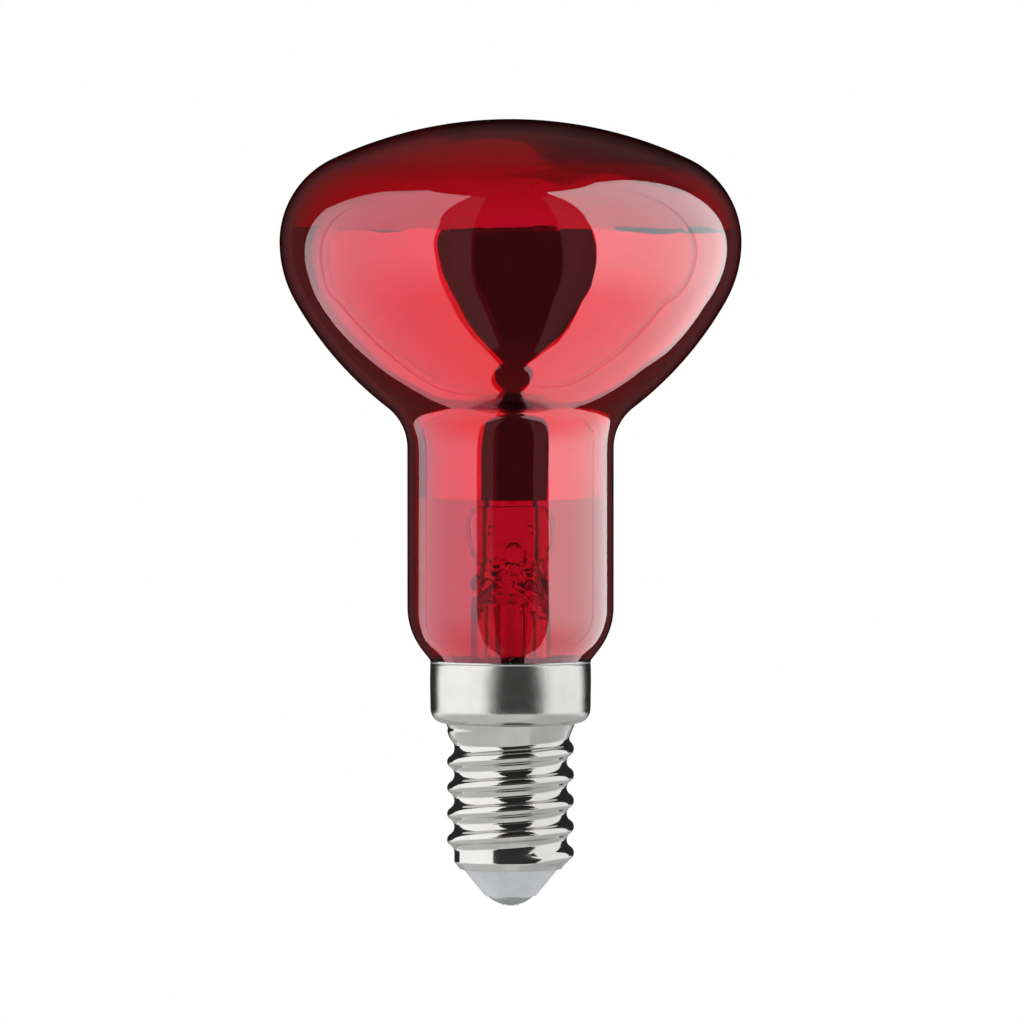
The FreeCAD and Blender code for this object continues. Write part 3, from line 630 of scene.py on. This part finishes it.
# A turned disc with a flat top, whose underside is part of a sphere that touches the floor
def makeContact():
    edge, level, top = contact["edge"], contact["level"], contact["top"]
    dome = (edge ** 2 + level ** 2) / (2 * level)
    swing = math.asin(edge / dome)
    line = chainPoints([
        ((0.0, dome), dome, -math.pi / 2, -math.pi / 2 + swing),
        ((edge, level), (edge, top)),
        ((edge, top), (0.0, top)),
    ], contact["spacing"])
    line[0, 0] = line[-1, 0] = 0.0
    return ringPiece("contact_dome", turnedRings(line[:, 0], line[:, 1], contact["around"]), contactMetal)


# Pressed glass stem

stem = {
    "flare": 6.7 * mm,
    "tube": 4.3 * mm,
    "wall": 0.7 * mm,
    "pressFoot": 33.2 * mm,
    "pressTop": 43.2 * mm,
    "pressWide": 4.8 * mm,
    "pressDeep": 1.9 * mm,
    "pinch": 3.75 * mm,
    "pinchLevel": 37.0 * mm,
    "topCorner": 0.8 * mm,
    "bore": 1.15 * mm,
    "holeLevel": 36.4 * mm,
    "squeezeFoot": (33 * mm, 34.5 * mm),  # heights over which the uneven glass starts and ends
    "squeezeTop": (38 * mm, 39.5 * mm),
    "mess": 0.22 * mm,  # how far the squeezed glass strays
    "messLength": 4 * mm,
    "calmFoot": (38 * mm, 40 * mm),  # above, the press is nearly even
    "calm": 0.04 * mm,
    "calmLength": 8 * mm,
    "boreFoot": (30.5 * mm, 33 * mm),
    "boreFlat": 0.6,
    "dents": ((0.35, 38.0, 1.3, 1.3), (-2.1, 40.7, 0.5, 0.4), (2.1, 40.7, 0.5, 0.4), (-1.6, 37.2, 0.6, 0.3),
              (1.9, 36.6, 0.7, 0.35), (-0.7, 35.6, 0.6, 0.3)),  # across, up, radius, depth in mm
    "around": 200,
    "spacing": 0.15 * mm,
}


# A tube that is squeezed to an oval on the way up. Its width and depth follow the height, the squeezed part
# is uneven, and round dents with raised edges are pushed into its front
def makeStem():
    s = stem
    angle = turns(s["around"])[None, :]
    flare, tube, wall, top, corner = s["flare"], s["tube"], s["wall"], s["pressTop"], s["topCorner"]
    bendLevel = sealEnd + wall + flare - tube
    side = chainPoints([
        ((flare, sealEnd), (flare, sealEnd + wall)),
        ((flare, bendLevel), flare - tube, -math.pi / 2, -math.pi),
        ((tube, bendLevel), (tube, top - corner)),
        ((tube - corner, top - corner), corner, 0, math.pi / 2),
        ((tube - corner, top), (0.0, top)),
    ], s["spacing"])
    side[-1, 0] = 0.0
    radius, height = side[:, :1], side[:, 1:]
    levels = np.array([s["pressFoot"] - 1 * mm, s["pinchLevel"], s["pinchLevel"] + 2.5 * mm, top - 1.5 * mm, top])
    wide = np.interp(height, levels, np.array([tube, s["pinch"], s["pressWide"], s["pressWide"], tube]) / tube)
    deep = 1 + smooth(height, s["pressFoot"] - 1.5 * mm, s["pinchLevel"] + 1 * mm) * (s["pressDeep"] / tube - 1)
    squeezed = smooth(height, *s["squeezeFoot"]) * (1 - smooth(height, *s["squeezeTop"]))
    stray = squeezed * ripple(angle, height, 3, s["mess"], 9, s["messLength"])
    stray = stray + smooth(height, *s["calmFoot"]) * ripple(angle, height, 5, s["calm"], 5, s["calmLength"])
    reach = radius + stray * (radius > 1 * mm)
    x = reach * wide * np.cos(angle)
    y = reach * deep * np.sin(angle)
    for across, up, size, depth in s["dents"]:
        away = np.hypot(x - across * mm, height - up * mm) / (size * mm)
        hollow = 1 - smooth(away, 0.7, 1.0) - 0.25 * np.exp(-((away - 1.15) / 0.15) ** 2)
        y = y + depth * mm * hollow * (y < 0)
    outer = np.stack([x, y, height + 0 * angle], 2)
    inside = tube - wall
    bore = chainPoints([
        ((0.0, s["holeLevel"]), (s["bore"] / 2, s["holeLevel"] - 0.15 * mm)),
        ((s["bore"] / 2, s["holeLevel"] - 0.15 * mm), (s["bore"], s["holeLevel"] - 1 * mm)),
        ((s["bore"], s["holeLevel"] - 1 * mm), (s["bore"] + 0.3 * mm, s["pressFoot"] + 1.6 * mm)),
        ((s["bore"] + 0.3 * mm, s["pressFoot"] + 1.6 * mm), (inside - 0.5 * mm, s["pressFoot"] - 0.6 * mm)),
        ((inside - 0.5 * mm, s["pressFoot"] - 0.6 * mm), (inside, s["pressFoot"] - 2.2 * mm)),
        ((inside, s["pressFoot"] - 2.2 * mm), (inside, bendLevel)),
        ((flare, bendLevel), flare - tube + wall, math.pi, 3 * math.pi / 2),
    ], s["spacing"])
    bore[0, 0] = 0.0
    roomy = smooth(bore[:, 1:], *s["boreFoot"]) * smooth(bore[:, :1], 0, 0.5 * mm)
    pressed = 1 + smooth(bore[:, 1:], s["pressFoot"] - 1.5 * mm, s["pinchLevel"] + 1 * mm) * (s["boreFlat"] - 1)
    hollow = bore[:, :1] + roomy * ripple(angle, bore[:, 1:], 11, s["mess"] / 2, 7, s["messLength"])
    inner = np.stack([hollow * np.cos(angle), hollow * pressed * np.sin(angle), bore[:, 1:] + 0 * angle], 2)
    return ringPiece("stem_glass", np.concatenate([outer, inner]), clearGlass, closed=True)


for piece, node, slot in (
    (makeGlassBulb(), "glass_bulb", "red_glass"),
    (makeMirror(), "mirror_coating", "mirror_film"),
    (makeCapShell(), "cap_shell", "nickelled_shell"),
    (makeInsulatorPiece(), "cap_insulator", "insulator"),
    (makeContact(), "contact_plate", "contact_metal"),
    (makeStem(), "stem_flare", "clear_glass"),
):
    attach(piece, "root")
    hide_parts(node)
print("surfaces made")

carried = {
    "exhaust_tube": clearGlass, "support_rod": clearGlass, "contact_solder": solder, "rim_solder": solder,
    "inner_lead_left": leadWire, "inner_lead_right": leadWire, "outer_lead_centre": copperWire,
    "outer_lead_side": copperWire, "seal_wire_left": copperWire, "seal_wire_right": copperWire,
    "support_wire_1": leadWire, "support_wire_2": leadWire, "support_wire_3": leadWire,
    "filament": tungsten, "cap_cement": cement,
}
for node, material in carried.items():
    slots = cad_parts[node].data.materials
    slots.clear()
    slots.append(material)
print("carried nodes finished")

# Studio: a white floor, a world, and light cards on a sphere round the lamp, which the camera doesn't see

studio = {
    "reach": 0.8,  # how far the softboxes stand from the lamp
    "fillReach": 0.816,  # the fills stand behind them and the metal's ring in front
    "ringReach": 0.784,
    "centre": 55 * mm,
    "ambient": 0.03,
    "onGlass": 0.07,
    "through": 2.15,
    "room": [(0.35, grey(0.16)), (0.75, grey(0.70))],  # from the front to the back of the room
    "behind": [(0.93, grey(1.0)), (0.985, grey(0.05))],  # black behind the glass's edges
    "floorHalf": 8.0,
    "floorDrop": 0.05 * mm,
}


# A patch of a turned surface between a near and a far bearing, both given row by row from the front, the
# left counted as minus. Across and up are kept as its UV
def cardPiece(name, radius, height, near, far, material):
    columns = 25
    share = np.linspace(0, 1, columns)[None, :]
    turn = np.radians(near[:, None] + (far - near)[:, None] * share)
    out = radius[:, None]
    points = np.stack([out * np.sin(turn), -out * np.cos(turn), height[:, None] + 0 * turn], 2)
    index = np.arange(turn.size).reshape(turn.shape)
    quads = np.stack([index[:-1, :-1], index[:-1, 1:], index[1:, 1:], index[1:, :-1]], 2).reshape(-1, 4)
    card = meshPiece(name, points.reshape(-1, 3), quads, np.empty((0, 3), int), material)
    up = np.linspace(0, 1, len(radius))[:, None] + 0 * turn
    flat = np.stack([share + 0 * turn, up], 2).reshape(-1, 2)
    card.data.uv_layers.new(name="card").data.foreach_set("uv", flat[quads.ravel()].astype(np.float32).ravel())
    card.visible_camera = False


# Rows are elevation, near and far bearing, from the bottom up
def sphereCard(name, rows, fineRows, reach, material):
    tilt, near, far = np.array(rows, float).T
    fine = np.linspace(tilt[0], tilt[-1], fineRows)
    level = np.radians(fine)
    cardPiece(name, reach * np.cos(level), studio["centre"] + reach * np.sin(level),
              np.interp(fine, tilt, near), np.interp(fine, tilt, far), material)


# Colours by elevation become ramp stops along a card's height
def glowStops(rows, glow):
    low, high = rows[0][0], rows[-1][0]
    return [((tilt - low) / (high - low), colour) for tilt, colour in glow]


def cardPlace(m, axis):
    return m.add("SeparateXYZ", {}, {"Vector": m.add("TexCoord", {}, {}, "UV")}, axis)


# Softboxes and fills, which only clear glass reflects. Glow is by elevation, and so is the colour that it takes
# on towards the far edge
softboxes = {
    "softbox_left": {
        "rows": [
            (-83, -30, -150), (-76, -36, -150), (-67, -43, -146), (-57, -44, -141), (-48, -41, -136),
            (-36, -39, -136), (-25, -38.5, -137), (-15, -37.5, -128), (6, -38, -121), (24, -37, -116),
            (32, -38, -110), (41, -37.5, -104), (50, -35, -96), (55, -33, -86), (60.5, -31, -72)],
        "brightness": 6.0,
        "glow": [(-83, (0.65, 0.22, 0.25)), (-45, (0.65, 0.27, 0.32)), (-10, (0.65, 0.45, 0.54)),
                 (30, (0.65, 0.49, 0.55))],
        "edge": [(-83, (0.86, 0.22, 0.25)), (-45, (0.86, 0.27, 0.32)), (-10, grey(0.45)), (30, grey(0.49))],
        "seam": 0.82,
        "reach": studio["reach"],
    },
    "softbox_right": {
        "rows": [
            (-83, 40, 152), (-76, 48, 152), (-67, 56, 148), (-57, 53, 142), (-48, 49, 140), (-37, 47, 138),
            (-29, 45, 142), (-24, 44.5, 142), (-16, 44, 139), (-10, 43.5, 138), (-2, 43, 137), (15, 42, 131.5),
            (26, 41, 128), (37, 41, 126), (45, 40.5, 123.5), (53, 39, 120), (59.5, 35, 113), (65.5, 32, 94)],
        "brightness": 6.0,
        "glow": [(-83, (0.66, 0.36, 0.40)), (-45, (0.66, 0.44, 0.47)), (-15, (0.68, 0.84, 0.84)),
                 (30, (0.70, 0.92, 0.95))],
        "edge": [(-83, (0.86, 0.36, 0.40)), (-45, (0.86, 0.44, 0.47)), (-15, grey(0.84)), (30, grey(0.92))],
        "seam": 0.66,
        "reach": studio["reach"],
    },
    "fill_left": {
        "rows": [(-75, -16, -40), (-57, -21, -45), (0, -19, -40), (60, -18, -35)],
        "brightness": 0.34,
        "glow": [(-75, grey(1.0)), (60, grey(1.0))],
        "edge": [(-75, grey(1.0)), (60, grey(1.0))],
        "seam": 0.5,
        "reach": studio["fillReach"],
    },
    "fill_right": {
        "rows": [(-75, 36, 52), (-50, 29, 52), (0, 25, 45), (60, 24, 38)],
        "brightness": 0.30,
        "glow": [(-75, grey(1.0)), (60, grey(1.0))],
        "edge": [(-75, grey(1.0)), (60, grey(1.0))],
        "seam": 0.5,
        "reach": studio["fillReach"],
    },
}
cloth = {  # the softboxes' front cloth, in shares of their width
    "rows": 40,
    "seamHalf": 0.02,
    "seamDim": 0.6,
    "edgeDim": 0.75,
    "edgeBlend": [(0.80, grey(0.0)), (0.96, grey(0.8))],
}


def makeSoftbox(name, box):
    m = newFinish(name + "_light")
    across, up = cardPlace(m, "X"), cardPlace(m, "Y")
    glow = m.ramp(up, glowStops(box["rows"], box["glow"]))
    edge = m.ramp(up, glowStops(box["rows"], box["edge"]))
    colour = m.add("Mix", {"data_type": "RGBA"}, {0: m.ramp(across, cloth["edgeBlend"]), 6: glow, 7: edge}, 2)
    line = m.ramp(across, [
        (box["seam"] - cloth["seamHalf"], grey(1.0)), (box["seam"], grey(cloth["seamDim"])),
        (box["seam"] + cloth["seamHalf"], grey(1.0)), (1.0, grey(cloth["edgeDim"]))])
    lit = m.add("VectorMath", {"operation": "MULTIPLY"}, {0: colour, 1: line})
    clear = m.add("BsdfTransparent", {}, {})
    shine = m.add("Emission", {}, {"Color": lit, "Strength": box["brightness"]})
    m.show(m.add("MixShader", {}, {0: m.add("LightPath", {}, {}, "Is Singular Ray"), 1: clear, 2: shine}))
    m.holder.cycles.emission_sampling = "NONE"
    sphereCard(name, box["rows"], cloth["rows"], box["reach"], m.holder)


# A ring of cards that only the metal reflects: light round the sides, dark in front with light below it, and
# grey behind from the floor. Glow is a share of the brightness by elevation
ring = {
    "rows": 170,
    "front": [(-89, -26, 45), (-14, -26, 45), (-13, -30, 48), (-9, -36, 52), (-5, -36, 52), (-3.2, -31, 47),
              (-2.2, -27, 45), (-1.5, -25, 43), (-0.6, -20, 37), (0.6, -18, 34), (3.6, -18, 34), (5, -26, 45),
              (80, -26, 45)],
    "far": ([-14, -13, 3, 80], [146, 132, 122, 100]),  # elevations and the bearings where the sides end
    "back": [(-89, 146, 214), (-13, 146, 214)],
    "sideGlow": [(-89, 0.5), (-27, 0.5), (-12, 1.0), (80, 0.95)],
    "frontGlow": [(-89, 0.9), (-20, 1.0), (-17.5, 0.03), (-10, 0.03), (-8, 0.05), (-1, 0.07), (1, 0.17), (6, 0.17),
                  (9, 0.03), (80, 0.03)],
    "backGlow": [(-89, 0.9), (-13, 1.0)],
    "left": 1.5,
    "right": 1.3,
    "middle": 0.85,
    "behind": 0.5,
}


def makeRingCard(name, rows, brightness, glow):
    m = newFinish(name + "_light")
    stops = glowStops(rows, [(tilt, grey(share)) for tilt, share in glow])
    shine = m.add("Emission", {}, {"Color": m.ramp(cardPlace(m, "Y"), stops), "Strength": brightness})
    clear = m.add("BsdfTransparent", {}, {})
    m.show(m.add("MixShader", {}, {0: m.add("LightPath", {}, {}, "Is Singular Ray"), 1: shine, 2: clear}))
    sphereCard(name, rows, ring["rows"], studio["ringReach"], m.holder)


def makeRing():
    tilt, left, right = np.array(ring["front"]).T
    far = np.interp(tilt, *ring["far"])
    makeRingCard("ring_left", np.stack([tilt, left, -far], 1), ring["left"], ring["sideGlow"])
    makeRingCard("ring_right", np.stack([tilt, right, far], 1), ring["right"], ring["sideGlow"])
    makeRingCard("ring_front", ring["front"], ring["middle"], ring["frontGlow"])
    makeRingCard("ring_back", ring["back"], ring["behind"], ring["backGlow"])


def makeFloor():
    m = newFinish("floor_white")
    m.show(m.add("Emission", {}, {"Color": (1, 1, 1, 1), "Strength": 1.0}))
    half, level = studio["floorHalf"], -studio["floorDrop"]
    points = np.array([[-half, -half, level], [half, -half, level], [half, half, level], [-half, half, level]])
    floor = meshPiece("floor", points, np.array([[0, 1, 2, 3]]), np.empty((0, 3), int), m.holder)
    floor.visible_glossy = False
    floor.visible_transmission = False


# White to the camera and through the glass, a dim room in the mirror, and nearly dark off metal and glass
def makeWorld():
    m = Finish(bpy.data.worlds.new("studio"))
    bpy.context.scene.world = m.holder
    m.holder.cycles.sampling_method = "NONE"
    camera = m.add("LightPath", {}, {}, "Is Camera Ray")
    through = m.add("LightPath", {}, {}, "Transmission Depth") > 0.5
    straight = m.add("LightPath", {}, {}, "Glossy Depth") < 0.5
    depth = m.add("SeparateXYZ", {}, {"Vector": m.add("TexCoord", {}, {}, "Generated")}, "Y") * 0.5 + 0.5
    white = (1, 1, 1, 1)
    offMetal = m.add("Background", {}, {"Color": white, "Strength": studio["ambient"]})
    offGlass = m.add("Background", {}, {"Color": m.ramp(depth, studio["behind"]), "Strength": studio["onGlass"]})
    dim = m.add("MixShader", {}, {0: m.add("LightPath", {}, {}, "Is Singular Ray"), 1: offMetal, 2: offGlass})
    mirrored = m.add("Background", {}, {"Color": m.ramp(depth, studio["room"]), "Strength": 1.0})
    behind = m.add("Background", {}, {"Color": white, "Strength": studio["through"]})
    glass = m.add("MixShader", {}, {0: straight, 1: mirrored, 2: behind})
    seen = m.add("MixShader", {}, {0: through, 1: dim, 2: glass})
    plain = m.add("Background", {}, {"Color": white, "Strength": 1.0})
    m.add("OutputWorld", {}, {"Surface": m.add("MixShader", {}, {0: camera, 1: seen, 2: plain})}, None)


view = {
    "aim": (0.16 * mm, 0.0, 42.6 * mm),
    "distance": 1.5,
    "elevation": math.radians(2.0),
    "width": 110.82 * mm,  # what the picture takes in at that distance
}


def makeCamera():
    data = bpy.data.cameras.new("camera")
    data.lens = data.sensor_width * view["distance"] / view["width"]
    data.clip_end = 50.0
    camera = bpy.data.objects.new("camera", data)
    tilt = view["elevation"]
    camera.location = np.array(view["aim"]) + view["distance"] * np.array([0.0, -math.cos(tilt), math.sin(tilt)])
    camera.rotation_euler = (math.pi / 2 - tilt, 0.0, 0.0)
    bpy.context.scene.collection.objects.link(camera)
    bpy.context.scene.camera = camera


for name, box in softboxes.items():
    makeSoftbox(name, box)
makeRing()
makeFloor()
makeWorld()
makeCamera()
bpy.context.scene.view_settings.view_transform = "Standard"
print("studio set")
